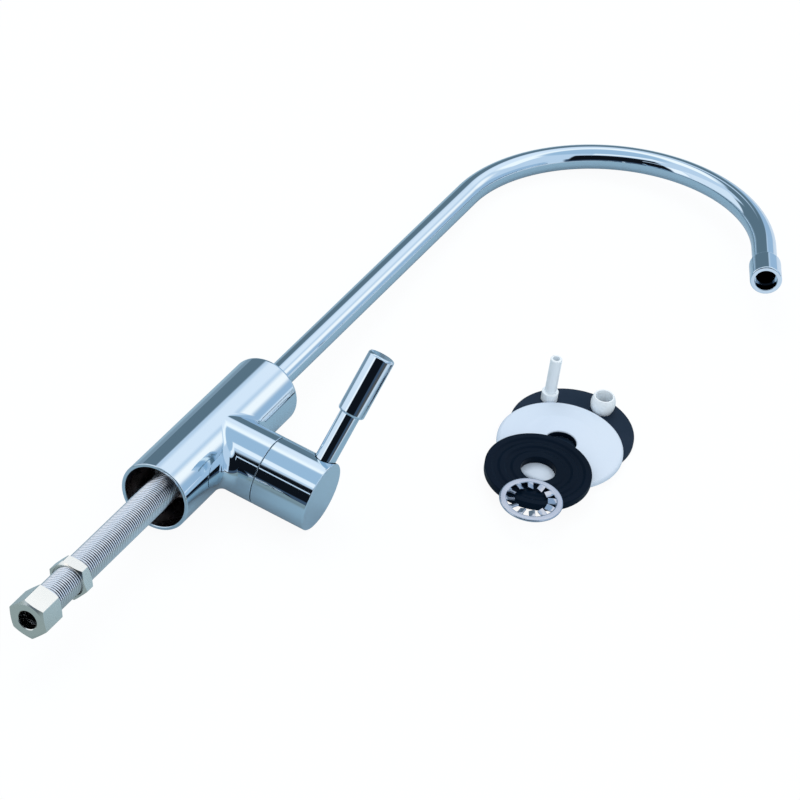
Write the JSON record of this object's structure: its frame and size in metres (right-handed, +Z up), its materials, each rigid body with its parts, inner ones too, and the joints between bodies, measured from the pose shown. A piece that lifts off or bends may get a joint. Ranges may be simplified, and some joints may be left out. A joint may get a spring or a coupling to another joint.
{
  "type": "drinking water filter tap",
  "caption": "Slim chrome filter tap with gooseneck spout, side lever on a ceramic-disc valve and threaded worktop shank, lying beside its loose washers and tube fittings.",
  "frame": {"origin": "centre of the body's base rim, on the tap's main axis, where the tap meets the worktop", "axes": "the tap lies on a table: +Z is straight up from the table, +Y runs along the tap from the shank to the spout (the main axis dips 2.9 degrees below +Y), +X runs along the valve branch (which dips 2.9 degrees below +X)"},
  "size_m": [0.1415, 0.3818, 0.0612],
  "materials": {
    "chrome": "polished",
    "nickel": "plated, bright",
    "steel": "zinc plated",
    "brass": "machined",
    "rubber": "moulded, matt",
    "ceramic": "lapped",
    "white_plastic": "moulded, glossy",
    "natural_plastic": "moulded, slightly translucent"
  },
  "bodies": {
    "tap_body": {"body": "chrome", "shank": "nickel", "shank_seal": "rubber", "seat_seal": "rubber", "fixed_disc": "ceramic", "cartridge_sleeve": "brass", "cartridge_o_ring": "rubber", "gland_nut": "brass", "rubber_washer": "rubber", "white_washer": "white_plastic", "ribbed_washer": "rubber", "tooth_washer": "steel", "ferrule": "natural_plastic", "tube_insert": "natural_plastic"},
    "spout": {"spout_spigot": "brass", "lower_spout_o_ring": "rubber", "upper_spout_o_ring": "rubber", "spout_clip": "natural_plastic", "spout_tube": "chrome", "outlet_collar": "chrome"},
    "handle": {"turning_disc": "ceramic", "spindle": "brass", "spindle_o_ring": "rubber", "spindle_clip": "steel", "glide_ring": "natural_plastic", "handle_hub": "chrome", "lever_rod": "chrome", "lever_grip": "chrome"},
    "lock_nut": {"lock_nut": "nickel"},
    "compression_nut": {"compression_nut": "nickel"}
  },
  "joints": [
    {"name": "spout_swivel", "type": "hinge", "parent": "tap_body", "child": "spout", "pos_m": [0, 0, 0], "axis": [0, 0.9987, -0.0506], "continuous": true},
    {"name": "lever_turn", "type": "hinge", "parent": "tap_body", "child": "handle", "pos_m": [0, 0.03975, -0.00201], "axis": [0.9988, -0.0025, -0.0498], "range_deg": [-59.6, 30.4]},
    {"name": "lock_nut_travel", "type": "slide", "parent": "tap_body", "child": "lock_nut", "axis": [0, 0.9987, -0.0506], "range_m": [-0.0125, 0.049]},
    {"name": "compression_nut_travel", "type": "slide", "parent": "tap_body", "child": "compression_nut", "axis": [0, 0.9987, -0.0506], "range_m": [-0.015, 0.0007]}
  ]
}
